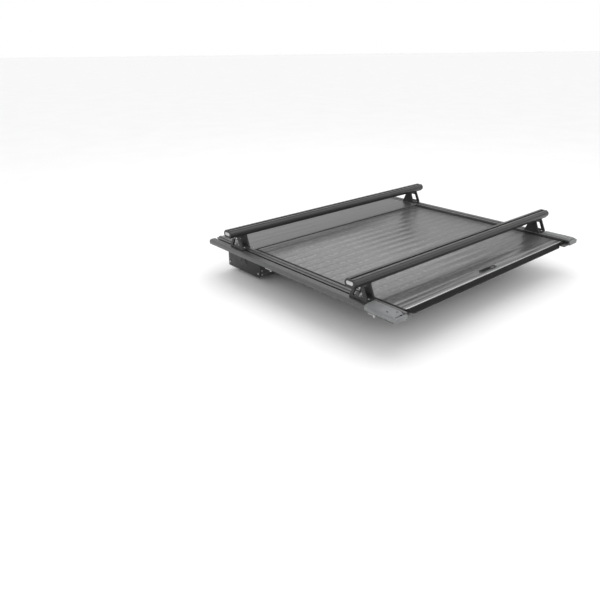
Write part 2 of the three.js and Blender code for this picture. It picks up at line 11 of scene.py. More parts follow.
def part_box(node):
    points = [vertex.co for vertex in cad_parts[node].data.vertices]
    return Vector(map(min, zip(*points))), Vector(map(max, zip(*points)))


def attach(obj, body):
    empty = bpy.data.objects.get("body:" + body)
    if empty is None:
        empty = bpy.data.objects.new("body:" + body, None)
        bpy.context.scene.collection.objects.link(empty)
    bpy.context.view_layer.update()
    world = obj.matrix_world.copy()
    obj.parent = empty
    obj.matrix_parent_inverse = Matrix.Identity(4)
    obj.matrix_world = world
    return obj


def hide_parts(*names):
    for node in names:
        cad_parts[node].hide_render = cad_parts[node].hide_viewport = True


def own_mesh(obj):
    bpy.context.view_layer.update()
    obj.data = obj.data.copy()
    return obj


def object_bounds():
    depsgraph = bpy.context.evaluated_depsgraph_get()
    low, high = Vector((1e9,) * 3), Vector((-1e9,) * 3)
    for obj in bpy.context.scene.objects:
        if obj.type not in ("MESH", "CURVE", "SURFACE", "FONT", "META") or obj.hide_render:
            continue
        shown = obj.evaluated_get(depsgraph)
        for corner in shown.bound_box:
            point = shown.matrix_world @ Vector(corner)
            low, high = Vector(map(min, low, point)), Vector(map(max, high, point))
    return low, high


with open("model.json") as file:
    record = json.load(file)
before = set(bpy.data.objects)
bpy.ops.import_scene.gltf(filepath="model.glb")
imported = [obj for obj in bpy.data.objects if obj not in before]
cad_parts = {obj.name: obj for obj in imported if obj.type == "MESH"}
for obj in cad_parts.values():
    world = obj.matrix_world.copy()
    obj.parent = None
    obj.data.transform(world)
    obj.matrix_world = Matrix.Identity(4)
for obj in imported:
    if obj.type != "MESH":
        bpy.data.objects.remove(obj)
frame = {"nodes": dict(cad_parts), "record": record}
cad_low, cad_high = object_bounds()

MM = 0.001
SIDES = (("left", -1), ("right", 1))
BARS = ("rear", "front")
BODY_OF = {node: body for body, nodes in frame["record"]["behaviour"]["bodies"].items() for node in nodes}
SLOT_OF = {row["node"]: row["material_slot"] for row in frame["record"]["subparts"]}


# ---------------------------------------------------------------- camera
# The camera stands behind the truck's left rear corner and looks down at the bed.
CAMERA_AT = (-2.290, -1.302, 1.000)
CAMERA_AZIMUTH = 40.32     # degrees, from +Y towards +X
CAMERA_DIP = 24.28         # degrees below the horizon
CAMERA_ROLL = -0.66        # degrees
LENS = 34.29               # millimetres


def make_camera():
    data = bpy.data.cameras.new("camera")
    data.lens = LENS
    data.clip_end = 60
    camera = bpy.data.objects.new("camera", data)
    bpy.context.scene.collection.objects.link(camera)
    turn = Matrix.Rotation(math.radians(-CAMERA_AZIMUTH), 4, "Z")
    tilt = Matrix.Rotation(math.radians(90 - CAMERA_DIP), 4, "X")
    roll = Matrix.Rotation(math.radians(CAMERA_ROLL), 4, "Z")
    camera.matrix_world = Matrix.Translation(CAMERA_AT) @ turn @ tilt @ roll
    bpy.context.scene.camera = camera


# ---------------------------------------------------------------- materials
class Surface:
    """A Principled material, with the patterns that drive its colour, roughness and bump."""

    def __init__(self, name, metallic=0.0, specular=0.5, coat=0.0, coat_roughness=0.2):
        self.material = bpy.data.materials.new(name)
        self.material.use_nodes = True
        self.tree = self.material.node_tree
        self.shader = self.tree.nodes["Principled BSDF"]
        self.shader.inputs["Metallic"].default_value = metallic
        self.shader.inputs["Specular IOR Level"].default_value = specular
        self.shader.inputs["Coat Weight"].default_value = coat
        self.shader.inputs["Coat Roughness"].default_value = coat_roughness
        self.place = self.tree.nodes.new("ShaderNodeTexCoord").outputs["Object"]
        self.height = None

    def node(self, kind, links=(), **settings):
        made = self.tree.nodes.new(kind)
        for key, value in settings.items():
            setattr(made, key, value)
        for socket, source in dict(links).items():
            if isinstance(source, bpy.types.NodeSocket):
                self.tree.links.new(source, made.inputs[socket])
            else:
                made.inputs[socket].default_value = source
        return made

    def noise(self, scale, detail=3.0, roughness=0.5, stretch=(1, 1, 1)):
        at = self.node("ShaderNodeVectorMath", {0: self.place, 1: stretch}, operation="MULTIPLY")
        return self.node("ShaderNodeTexNoise", {
            "Vector": at.outputs[0], "Scale": scale, "Detail": detail, "Roughness": roughness,
        }).outputs["Fac"]

    def cells(self, scale):
        return self.node("ShaderNodeTexVoronoi", {"Vector": self.place, "Scale": scale},
                         feature="SMOOTH_F1").outputs["Distance"]

    def remap(self, value, low, high, to_low=0.0, to_high=1.0):
        return self.node("ShaderNodeMapRange", {
            "Value": value, "From Min": low, "From Max": high, "To Min": to_low, "To Max": to_high,
        }, clamp=True).outputs["Result"]

    def times(self, a, b):
        return self.node("ShaderNodeMath", {0: a, 1: b}, operation="MULTIPLY").outputs[0]

    def plus(self, a, b):
        return self.node("ShaderNodeMath", {0: a, 1: b}, operation="ADD").outputs[0]

    def mix(self, share, a, b):
        return self.node("ShaderNodeMix", {0: share, 6: a, 7: b}, data_type="RGBA").outputs[2]

    def edges(self, low=0.52, high=0.60):
        """How worn an edge is: convex edges, broken up by a noise."""
        sharp = self.node("ShaderNodeNewGeometry").outputs["Pointiness"]
        return self.times(self.remap(sharp, low, high), self.remap(self.noise(60), 0.42, 0.62))

    def colour(self, socket):
        self.tree.links.new(socket, self.shader.inputs["Base Color"])

    def roughness(self, socket):
        self.tree.links.new(socket, self.shader.inputs["Roughness"])

    def bump(self, value, distance):
        links = {"Height": value, "Distance": distance, "Strength": 1.0}
        if self.height is not None:
            links["Normal"] = self.height
        self.height = self.node("ShaderNodeBump", links).outputs["Normal"]
        self.tree.links.new(self.height, self.shader.inputs["Normal"])


def grey(value, warm=0.0):
    return (value * (1 + warm), value, value * (1 - warm), 1.0)


LINE_SHARE = 0.05       # how far the die lines lighten a coat


def powder_coat(name, tone, rough, draw, specular=0.5, coat=0.0):
    """Coated extrusion: die lines along its length, orange peel, soft blotches and worn edges."""
    made = Surface(name, specular=specular, coat=coat, coat_roughness=0.25)
    blotch = made.noise(2.0, detail=1.0)
    lines = made.noise(1.0, detail=2.0, roughness=0.4, stretch=draw)
    tint = made.mix(made.remap(blotch, 0.3, 0.7), grey(tone * 0.96, -0.02), grey(tone * 1.04, 0.01))
    tint = made.mix(made.times(made.remap(lines, 0.35, 0.75), LINE_SHARE), tint, grey(tone * 1.5))
    made.colour(made.mix(made.times(made.edges(), 0.5), tint, grey(tone * 3.0 + 0.02, 0.02)))
    smear = made.remap(made.noise(3.0, detail=1.0), 0.25, 0.75, -0.010, 0.010)
    made.roughness(made.plus(made.plus(made.times(lines, 0.02), smear), rough - 0.01))
    made.bump(lines, 0.000002)
    made.bump(made.noise(900.0, detail=1.0), 0.000006)
    return made.material


def cast_coat(name, tone, rough):
    """Textured coat on a casting."""
    made = Surface(name, specular=0.45)
    grain = made.noise(420.0, detail=3.0, roughness=0.6)
    tint = made.mix(made.remap(made.noise(14.0), 0.3, 0.7), grey(tone * 0.8), grey(tone * 1.25))
    made.colour(made.mix(made.times(made.edges(0.53, 0.62), 0.6), tint, grey(tone * 5.0, 0.02)))
    made.roughness(made.remap(grain, 0.3, 0.7, rough - 0.06, rough + 0.10))
    made.bump(grain, 0.00022)
    return made.material


def moulding(name, tone, rough, grain=0.00012, warm=0.0):
    """Moulded plastic with a fine pebble grain and rubbed edges."""
    made = Surface(name, specular=0.45)
    pebbles = made.cells(620.0)
    tint = made.mix(made.remap(made.noise(9.0, detail=4.0), 0.3, 0.7),
                    grey(tone * 0.88, warm), grey(tone * 1.10, warm))
    made.colour(made.mix(made.times(made.edges(), 0.4), tint, grey(min(1, tone * 1.7), warm)))
    made.roughness(made.remap(made.noise(26.0, detail=4.0), 0.3, 0.7, rough - 0.06, rough + 0.08))
    made.bump(pebbles, grain)
    return made.material


def rubber(name, tone):
    made = Surface(name, specular=0.2)
    dust = made.remap(made.noise(18.0, detail=6.0, roughness=0.65), 0.45, 0.75)
    made.colour(made.mix(made.times(dust, 0.3), grey(tone), grey(tone * 3.4, 0.03)))
    made.roughness(made.remap(dust, 0.0, 1.0, 0.62, 0.86))
    made.bump(made.noise(700.0, detail=3.0), 0.00010)
    return made.material


def bare_metal(name, tone, rough, draw, warm=0.0, tarnish=0.5):
    """Plated or mill-finish metal with drawn scratches and a dull bloom."""
    made = Surface(name, metallic=1.0)
    lines = made.noise(1.0, detail=6.0, roughness=0.7, stretch=draw)
    bloom = made.remap(made.noise(22.0, detail=5.0, roughness=0.6), 0.4, 0.75)
    clean = made.mix(lines, grey(tone * 0.85, warm), grey(tone * 1.1, warm))
    made.colour(made.mix(made.times(bloom, tarnish), clean, grey(tone * 0.55, warm + 0.02)))
    drawn = made.remap(lines, 0.3, 0.7, rough - 0.05, rough + 0.08)
    made.roughness(made.plus(made.times(bloom, 0.16), drawn))
    made.bump(lines, 0.00005)
    return made.material


# How closely a coat's lines repeat along X, Y and Z, per metre.
ALONG_X = (0.7, 420.0, 420.0)
ALONG_Y = (420.0, 0.7, 420.0)
ROUND_Z = (500.0, 500.0, 40.0)

MATERIALS = {
    "slat_black": powder_coat("slat_coat", 0.052, 0.31, ALONG_X, specular=1.0, coat=0.3),
    "rail_black": powder_coat("rail_coat", 0.036, 0.38, ALONG_Y, specular=0.8),
    "bar_black": powder_coat("bar_coat", 0.022, 0.36, ALONG_X, specular=0.55),
    "leg_black": cast_coat("leg_coat", 0.016, 0.50),
    "grey_plastic": moulding("grey_moulding", 0.15, 0.40, warm=-0.02),
    "black_plastic": moulding("black_moulding", 0.018, 0.48),
    "cap_grey": moulding("cap_moulding", 0.42, 0.34, grain=0.00004),
    # Seal rubber: black rubber, set darker still than its own colour with a 0.006 tone, as painted shade for
    # the shaded gap the seals sit in.
    "seal_rubber": rubber("seal_rubber", 0.006),
    "steel": bare_metal("plated_steel", 0.62, 0.26, ROUND_Z, warm=0.01, tarnish=0.25),
    "mill_aluminium": bare_metal("mill_aluminium", 0.60, 0.34, ALONG_X, tarnish=0.35),
}


# ---------------------------------------------------------------- meshes
# Outlines and places below are in millimetres; a mesh is scaled to metres as it is made.
def link(mesh, name):
    made = bpy.data.objects.new(name, mesh)
    bpy.context.scene.collection.objects.link(made)
    return made


def finish_mesh(bm, name, smooth_angle=32.0):
    bmesh.ops.recalc_face_normals(bm, faces=bm.faces)
    mesh = bpy.data.meshes.new(name)
    bm.to_mesh(mesh)
    bm.free()
    mesh.shade_smooth()
    mesh.set_sharp_from_angle(angle=math.radians(smooth_angle))
    return link(mesh, name)


def dress(piece, body, slot_name, *replaced):
    piece.data.materials.clear()
    piece.data.materials.append(MATERIALS[slot_name])
    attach(piece, body)
    if replaced:
        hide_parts(*replaced)
    return piece


def filleted(corners, steps=5):
    """An outline whose corners, each (a, b, radius), are rounded."""
    points = []
    for i, (a, b, radius) in enumerate(corners):
        here = Vector((a, b))
        back = Vector(corners[i - 1][:2]) - here
        ahead = Vector(corners[(i + 1) % len(corners)][:2]) - here
        if radius <= 0:
            points.append(here)
            continue
        reach = min(radius / math.tan(back.angle(ahead) / 2), 0.49 * back.length, 0.49 * ahead.length)
        start = here + back.normalized() * reach
        end = here + ahead.normalized() * reach
        for k in range(steps + 1):
            t = k / steps
            points.append((1 - t) ** 2 * start + 2 * t * (1 - t) * here + t ** 2 * end)
    return points


PLACE = {
    "X": lambda p, t: Vector((t, p[0], p[1])) * MM,
    "Y": lambda p, t: Vector((p[0], t, p[1])) * MM,
    "Z": lambda p, t: Vector((p[0], p[1], t)) * MM,
}


def prism(bm, outline, axis, start, end, bevel=0.0, segments=2):
    """An outline drawn out along an axis, with the edges round its two ends rounded."""
    place = PLACE[axis]
    near = [bm.verts.new(place(p, start)) for p in outline]
    far = [bm.verts.new(place(p, end)) for p in outline]
    caps = [bm.faces.new(near[::-1]), bm.faces.new(far)]
    for i in range(len(outline)):
        bm.faces.new((near[i - 1], near[i], far[i], far[i - 1]))
    if bevel > 0:
        rims = {edge for cap in caps for edge in cap.edges}
        bmesh.ops.bevel(bm, geom=list(rims), offset=bevel * MM, offset_type="OFFSET",
                        segments=segments, profile=0.5, affect="EDGES", clamp_overlap=True)


def block(bm, low, high, bevel=0.8):
    """A box with all its edges rounded."""
    made = bmesh.ops.create_cube(bm, size=1.0)["verts"]
    for vert in made:
        share = [c + 0.5 for c in vert.co]
        vert.co = Vector([low[k] + (high[k] - low[k]) * share[k] for k in range(3)]) * MM
    edges = {edge for vert in made for edge in vert.link_edges}
    bmesh.ops.bevel(bm, geom=list(edges), offset=bevel * MM, offset_type="OFFSET",
                    segments=2, profile=0.5, affect="EDGES", clamp_overlap=True)


def hexagon(angle, flat):
    """Distance from the middle of a hexagon to its edge, for half its width across flats."""
    return flat / math.cos((angle + math.pi / 6) % (math.pi / 3) - math.pi / 6)


def turned(bm, base, direction, rings, sides=24):
    """A turned solid from rings of (radius, height, shape), where shape is round, hex or nut."""
    turn = Vector(direction).to_track_quat("Z", "Y").to_matrix()
    rows = []
    for radius, height, shape in rings:
        row = []
        for k in range(sides):
            angle = 2 * math.pi * k / sides
            if shape == "hex":
                reach = hexagon(angle, radius)
            elif shape == "nut":
                reach = min(hexagon(angle, radius), radius * 1.07)
            else:
                reach = radius
            local = Vector((reach * math.cos(angle), reach * math.sin(angle), height))
            row.append(bm.verts.new((Vector(base) + turn @ local) * MM))
        rows.append(row)
    bm.faces.new(rows[0][::-1])
    bm.faces.new(rows[-1])
    for low_row, high_row in zip(rows, rows[1:]):
        for k in range(sides):
            bm.faces.new((low_row[k - 1], low_row[k], high_row[k], high_row[k - 1]))


def socket_screw(bm, base, direction, radius, height):
    """A button-head screw with a hexagonal recess."""
    turned(bm, base, direction, [
        (radius, 0, "round"), (radius, height * 0.45, "round"), (radius * 0.93, height * 0.75, "round"),
        (radius * 0.76, height * 0.95, "round"), (radius * 0.55, height, "round"),
        (radius * 0.42, height, "hex"), (radius * 0.40, height * 0.25, "hex"),
        (radius * 0.10, height * 0.15, "round"),
    ])


def pan_rivet(bm, base, direction, radius):
    """A blind rivet's dome with the dimple of its pin."""
    turned(bm, base, direction, [
        (radius, 0, "round"), (radius * 0.97, radius * 0.18, "round"),
        (radius * 0.80, radius * 0.36, "round"), (radius * 0.45, radius * 0.46, "round"),
        (radius * 0.36, radius * 0.40, "round"), (radius * 0.10, radius * 0.36, "round"),
    ], sides=16)


def round_edges(bm, width, segments=2, angle=28.0):
    """Rounds the sharp edges of a mesh, and leaves those between facets of a curve."""
    sharp = [e for e in bm.edges
             if len(e.link_faces) == 2 and e.calc_face_angle(0.0) > math.radians(angle)]
    bmesh.ops.bevel(bm, geom=sharp, offset=width * MM, offset_type="OFFSET", segments=segments,
                    profile=0.5, affect="EDGES", clamp_overlap=True)


def clean_copy(node):
    """A CAD node's mesh with its flat faces made whole."""
    bm = bmesh.new()
    bm.from_mesh(frame["nodes"][node].data)
    bmesh.ops.remove_doubles(bm, verts=bm.verts, dist=1e-6)
    bmesh.ops.dissolve_limit(bm, angle_limit=math.radians(0.6), verts=bm.verts, edges=bm.edges)
    return bm


def refined(node, width=0.5, segments=2, angle=28.0):
    """A CAD node's own shape with its edges rounded."""
    bm = clean_copy(node)
    round_edges(bm, width, segments, angle)
    bmesh.ops.triangulate(bm, faces=[f for f in bm.faces if len(f.verts) > 4])
    return dress(finish_mesh(bm, f"{node}_shape"), BODY_OF[node], SLOT_OF[node], node)


def span(node, axis):
    """The lowest and highest reach of a CAD node along an axis, in millimetres."""
    low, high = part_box(node)
    return low[axis] / MM, high[axis] / MM


# ---------------------------------------------------------------- slats
SLATS = [name for name in sorted(frame["nodes"]) if name.startswith("slat_")]
SLAT_BOTTOM, SLAT_TOP = span("slat_01", 2)
SLAT_HALF = span("slat_01", 0)[1]
SLAT_PITCH = span("slat_02", 1)[0] - span("slat_01", 1)[0]
TONGUE = 4.0            # how far a slat's tongue reaches behind its rear edge
JOINT_GAP = 0.25        # between the tops of two slats
GROOVE_HALF = 0.3
GROOVE_DEPTH = 0.15
POCKET_LOW, POCKET_HIGH = 13.4, 18.2
POCKET_DEPTH = 5.0
BUMPER_INNER, BUMPER_OUTER = 611, 634


def slat(node):
    """One slat: rounded joint edges, a groove along its middle, its tongue and its pocket."""
    rear = span(node, 1)[0] + TONGUE
    front = rear + SLAT_PITCH - JOINT_GAP
    middle = rear + SLAT_PITCH / 2
    bm = bmesh.new()
    prism(bm, filleted([
        (rear + 2, SLAT_BOTTOM, 0.8), (front - 1.5, SLAT_BOTTOM, 0.8), (front, SLAT_BOTTOM + 1.4, 0.5),
        (front, POCKET_LOW, 0.3), (front - POCKET_DEPTH, POCKET_LOW, 0),
        (front - POCKET_DEPTH, POCKET_HIGH, 0), (front, POCKET_HIGH, 0.3),
        (front, SLAT_TOP, GROOVE_HALF), (middle + GROOVE_HALF, SLAT_TOP, 0.25),
        (middle, SLAT_TOP - GROOVE_DEPTH, 0.1), (middle - GROOVE_HALF, SLAT_TOP, 0.25),
        (rear, SLAT_TOP, GROOVE_HALF), (rear, POCKET_HIGH - 1, 0.3),
        (rear - TONGUE, POCKET_HIGH - 1, 0.8), (rear - TONGUE, POCKET_LOW + 1, 0.8),
        (rear, POCKET_LOW + 1, 0.3), (rear, SLAT_BOTTOM + 1.8, 0.5),
    ], steps=3), "X", -SLAT_HALF, SLAT_HALF, bevel=0.2, segments=1)
    piece = dress(finish_mesh(bm, f"{node}_shape"), BODY_OF[node], SLOT_OF[node], node)
    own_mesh(piece)


def groove_across(bm, y, top):
    """Presses a fine groove along X into the flat top of a mesh."""
    for at in (y - GROOVE_HALF, y, y + GROOVE_HALF):
        geometry = bm.verts[:] + bm.edges[:] + bm.faces[:]
        bmesh.ops.bisect_plane(bm, geom=geometry, plane_co=(0, at * MM, 0), plane_no=(0, 1, 0))
    for vert in bm.verts:
        if abs(vert.co.y - y * MM) < 1e-6 and abs(vert.co.z - top * MM) < 1e-6:
            vert.co.z -= GROOVE_DEPTH * MM


def end_slat():
    bm = clean_copy("end_slat")
    round_edges(bm, 0.35)
    joint = span("slat_01", 1)[0] + TONGUE
    groove_across(bm, joint - SLAT_PITCH / 2, SLAT_TOP)
    bmesh.ops.triangulate(bm, faces=[f for f in bm.faces if len(f.verts) > 4])
    dress(finish_mesh(bm, "end_slat_shape"), "end_slat", SLOT_OF["end_slat"], "end_slat")

    # A bright satin-metal strip along the end slat's rear top edge: a painted highlight, standing for the
    # line of light on the coat's rounded rear edge.
    bm = bmesh.new()
    prism(bm, filleted([
        (-0.25, 18.6, 0.1), (0.0, 18.6, 0), (0.0, 19.6, 0.3), (0.9, 21.4, 0.4), (2.0, 22.02, 0.2),
        (2.8, 22.02, 0), (2.8, 22.25, 0.1), (1.9, 22.3, 0.4), (0.5, 21.6, 0.8), (-0.25, 19.8, 0.6),
    ], steps=3), "X", -SLAT_HALF + 1, SLAT_HALF - 1, bevel=0.1, segments=1)
    dress(finish_mesh(bm, "rear_edge_painted_highlight"), "end_slat", "mill_aluminium")

    for side_name, side in SIDES:
        bm = bmesh.new()
        x_low, x_high = sorted((side * BUMPER_INNER, side * BUMPER_OUTER))
        block(bm, (x_low, -11, SLAT_BOTTOM - 0.4), (x_high, -0.6, SLAT_TOP - 1), bevel=1.8)
        dress(finish_mesh(bm, f"{side_name}_corner_bumper"), "end_slat", "seal_rubber")


def tail_seal():
    """The bulb seal with two fine ribs on its rear face."""
    half = span("tail_seal", 0)[1]
    bottom, top = span("tail_seal", 2)
    bm = bmesh.new()
    prism(bm, filleted([
        (-0.3, top, 0.2), (-0.3, -8, 1.5), (-4, bottom, 3.5), (-8.5, -9, 3.5), (-10, -3, 5), (-8, 3, 4),
        (-4.9, 7.4, 1.5), (-4.9, 9.0, 0.4), (-4.1, 9.6, 0.2), (-4.9, 10.2, 0.3), (-4.9, 12.0, 0.3),
        (-4.1, 12.6, 0.2), (-4.4, top, 0.8),
    ], steps=4), "X", -half, half, bevel=0.4)
    dress(finish_mesh(bm, "tail_seal_shape"), BODY_OF["tail_seal"], "seal_rubber", "tail_seal")


# ---------------------------------------------------------------- side rails
RAIL_INNER, RAIL_OUTER = span("right_rail", 0)
RAIL_REAR, RAIL_FRONT = span("right_rail", 1)
LIP_TOP = span("right_rail", 2)[1]
TRACK_TOP = 25.0
TRACK_X = 693.0


def mirrored(corners, side):
    """An outline for the left or the right, given for the right."""
    return [(side * corner[0],) + tuple(corner[1:]) for corner in corners]


def fine_line(x):
    """Outline points of a V-shaped line scored in the rail's top."""
    return [(x + 0.9, TRACK_TOP, 0.2), (x, TRACK_TOP - 0.7, 0.1), (x - 0.9, TRACK_TOP, 0.2)]


def rail_section():
    """Guide channel, raised lip, T-track and outer flange, with two fine lines on the flange."""
    lip, wall = 657.0, 662.0
    return [
        (RAIL_INNER, 0, 0.8), (RAIL_OUTER, 0, 1.5), (RAIL_OUTER, TRACK_TOP - 6.5, 2.5),
        (RAIL_OUTER - 7, TRACK_TOP, 5), *fine_line(721), *fine_line(711),
        (TRACK_X + 6, TRACK_TOP, 0.8), (TRACK_X + 6, 20, 0.4), (TRACK_X + 12, 20, 0.3),
        (TRACK_X + 12, 10, 0.8), (TRACK_X - 12, 10, 0.8), (TRACK_X - 12, 20, 0.3),
        (TRACK_X - 6, 20, 0.4), (TRACK_X - 6, TRACK_TOP, 0.8), (674, TRACK_TOP, 0.8),
        (672.8, LIP_TOP, 2.4), (658, LIP_TOP, 2.6), (lip, 24, 0.6), (lip, 23.2, 0.2), (wall, 23.2, 0.4),
        (wall, 9, 0.8), (RAIL_INNER, 9, 0.8),
    ]


def side_rail(side_name, side):
    node = f"{side_name}_rail"
    bm = bmesh.new()
    prism(bm, filleted(mirrored(rail_section(), side), steps=3), "Y", RAIL_REAR, RAIL_FRONT, bevel=0.4)
    dress(finish_mesh(bm, f"{node}_shape"), "root", SLOT_OF[node], node)
    refined(f"{side_name}_side_seal", 0.35)


def rail_end_cover(side_name, side):
    node = f"{side_name}_rail_end_cover"
    refined(node, 1.0, segments=3, angle=24)
    bm = bmesh.new()
    socket_screw(bm, (side * TRACK_X, -8, 26), (0, 0, 1), 3.9, 3.4)
    dress(finish_mesh(bm, f"{node}_screw"), "root", "steel")
    bm = bmesh.new()
    turned(bm, (side * 722, 20, 30.2), (side * 0.34, 0, 1), [
        (6.2, -0.6, "round"), (6.2, 0.7, "round"), (5.6, 1.3, "round"), (4.2, 1.6, "round"),
        (3.9, 1.1, "round"), (0.6, 1.0, "round"),
    ])
    dress(finish_mesh(bm, f"{node}_plug"), "root", "black_plastic")


def sill_clamp(name, side):
    """The clamp's folded jaw, and its screw with a lock nut and a swivel pad."""
    node = f"{name}_sill_clamp"
    near, far = span(node, 1)
    middle = (near + far) / 2
    bm = bmesh.new()
    prism(bm, filleted(mirrored([
        (612, 8, 2), (612, -46, 7), (668, -46, 2), (668, -38, 2), (619.5, -38, 2.5), (619.5, 8, 1),
    ], side)), "Y", near, far, bevel=1.2)
    dress(finish_mesh(bm, f"{node}_jaw"), "root", "mill_aluminium", node)
    bm = bmesh.new()
    thread = [(5.0 - 0.35 * (k % 2), 0.7 * k + 5, "round") for k in range(63)]
    turned(bm, (side * 648, middle, -62), (0, 0, 1),
           [(4.2, 0, "hex"), (4.2, 4.4, "hex"), (4.6, 4.6, "round"), *thread])
    hex_nut(bm, (side * 648, middle, -54), 8.0, 7.4)
    turned(bm, (side * 648, middle, -17), (0, 0, 1), [
        (6, -2, "round"), (6, 0, "round"), (10.4, 0.2, "round"), (11, 1.2, "round"), (11, 4.2, "round"),
        (10.2, 5, "round"),
    ])
    dress(finish_mesh(bm, f"{node}_screw"), "root", "steel")


def hex_nut(bm, base, flat, height):
    """A hexagonal nut with chamfered corners, its axis along Z."""
    turned(bm, base, (0, 0, 1), [
        (flat * 0.94, 0, "round"), (flat, height * 0.12, "nut"), (flat, height * 0.86, "nut"),
        (flat * 0.94, height, "round"),
    ], sides=48)


# ---------------------------------------------------------------- canister
CANISTER_REAR, CANISTER_FRONT = span("left_canister_end_plate", 1)
CANISTER_BOTTOM = span("left_canister_end_plate", 2)[0]
TRAY_HALF = span("canister_tray", 0)[1]
PLATE_X = span("right_canister_end_plate", 0)[1]
DRUM_Y = sum(span("drum", 1)) / 2
DRUM_Z = sum(span("drum", 2)) / 2
SHEET = 3.0
RIB_START, RIB_END = 27, 58     # from the drum's middle, ending below the plate's top edge


def canister_tray():
    """A folded tray with rounded bends, swages pressed out along it and rivets at its ends."""
    rear, front, bottom = CANISTER_REAR, CANISTER_FRONT, CANISTER_BOTTOM
    top = span("canister_tray", 2)[1]
    bm = bmesh.new()
    prism(bm, filleted([
        (rear, 7, 2), (rear, bottom + 12, 6), (rear + 12, bottom, 6), (front, bottom, 5),
        (front, top, 3), (front - 14, top, 0.4), (front - 14, top - SHEET, 0.4),
        (front - SHEET, top - SHEET, 1), (front - SHEET, bottom + SHEET, 2),
        (rear + 13.2, bottom + SHEET, 4), (rear + SHEET, bottom + 13.2, 4), (rear + SHEET, 4, 1),
        (rear + 12, 4, 0.4), (rear + 12, 7, 0.4),
    ]), "X", -TRAY_HALF, TRAY_HALF)
    for height in (-20, -58, -96):
        swage(bm, [(rear + 0.5, height - 11, 0.5), (rear - 2.2, height - 6, 2.5),
                   (rear - 2.2, height + 6, 2.5), (rear + 0.5, height + 11, 0.5)])
    for depth in (60, 120, 180, 240):
        y = rear + depth
        swage(bm, [(y - 11, bottom + 0.5, 0.5), (y - 6, bottom - 2.2, 2.5),
                   (y + 6, bottom - 2.2, 2.5), (y + 11, bottom + 0.5, 0.5)])
    dress(finish_mesh(bm, "canister_tray_shape"), "root", "rail_black", "canister_tray")

    bm = bmesh.new()
    for _, side in SIDES:
        for height in (-6, -40, -74, -108, -130):
            pan_rivet(bm, (side * 606, rear, height), (0, -1, 0), 4.2)
        for depth in (40, 90, 140, 190, 240):
            pan_rivet(bm, (side * 606, rear + depth, bottom), (0, 0, -1), 4.2)
    dress(finish_mesh(bm, "canister_rivets"), "root", "steel")


def swage(bm, corners):
    """A long pressed rib on the tray, ending short of its ends."""
    prism(bm, filleted(corners, steps=4), "X", -TRAY_HALF + 40, TRAY_HALF - 40, bevel=1.2)


def canister_end(side_name, side):
    node = f"{side_name}_canister_end_plate"
    refined(node, 1.0, segments=3)
    bm = bmesh.new()
    turned(bm, (side * PLATE_X, DRUM_Y, DRUM_Z), (side, 0, 0), [
        (30, -0.5, "round"), (30, 1.6, "round"), (28.6, 2.6, "round"), (19, 2.6, "round"),
        (18, 1.8, "round"), (1, 1.8, "round"),
    ], sides=48)
    for turn in range(6):
        angle = math.radians(60 * turn)
        along = Vector((math.cos(angle), math.sin(angle)))
        rib_from = Vector((DRUM_Y, DRUM_Z)) + RIB_START * along
        rib_to = Vector((DRUM_Y, DRUM_Z)) + RIB_END * along
        across = (rib_to - rib_from).orthogonal().normalized() * 2.2
        prism(bm, [rib_from - across, rib_from + across, rib_to + across * 0.7, rib_to - across * 0.7],
              "X", side * (PLATE_X - 0.5), side * (PLATE_X + 1.8), bevel=0.6)
    dress(finish_mesh(bm, f"{node}_ribs"), "root", "black_plastic")

    bm = bmesh.new()
    turned(bm, (side * (PLATE_X + 1.8), DRUM_Y, DRUM_Z), (side, 0, 0), [
        (15.5, -0.3, "round"), (15.5, 1.2, "round"), (14.9, 1.6, "round"), (12.6, 1.7, "round"),
    ], sides=32)
    turned(bm, (side * (PLATE_X + 3.2), DRUM_Y, DRUM_Z), (side, 0, 0), [
        (11.6, 0, "round"), (12, 0.6, "nut"), (12, 3.4, "nut"), (11.4, 4.2, "round"),
    ], sides=48)
    for y in (CANISTER_REAR + 16, CANISTER_FRONT - 16):
        for z in (-12, CANISTER_BOTTOM + 24):
            socket_screw(bm, (side * PLATE_X, y, z), (side, 0, 0), 5.2, 3.4)
    dress(finish_mesh(bm, f"{node}_screws"), "root", "steel")

    spigot = f"{side_name}_drain_spigot"
    x = sum(span(spigot, 0)) / 2
    y = sum(span(spigot, 1)) / 2
    length = CANISTER_BOTTOM - span(spigot, 2)[0]
    barbs = [ring for k in range(3) for ring in (
        (7.4, length - 17 + 5 * k, "round"), (8.7, length - 16.6 + 5 * k, "round"))]
    bm = bmesh.new()
    turned(bm, (x, y, CANISTER_BOTTOM), (0, 0, -1), [
        (15, 0.3, "round"), (15, 3.2, "round"), (14.2, 4, "round"), (8.9, 4.2, "round"),
        (7.6, 5, "round"), *barbs, (7.2, length - 0.6, "round"), (6.8, length, "round"),
        (6, length, "round"), (6, 2, "round"), (0.5, 1.8, "round"),
    ], sides=32)
    dress(finish_mesh(bm, f"{spigot}_shape"), "root", "black_plastic", spigot)


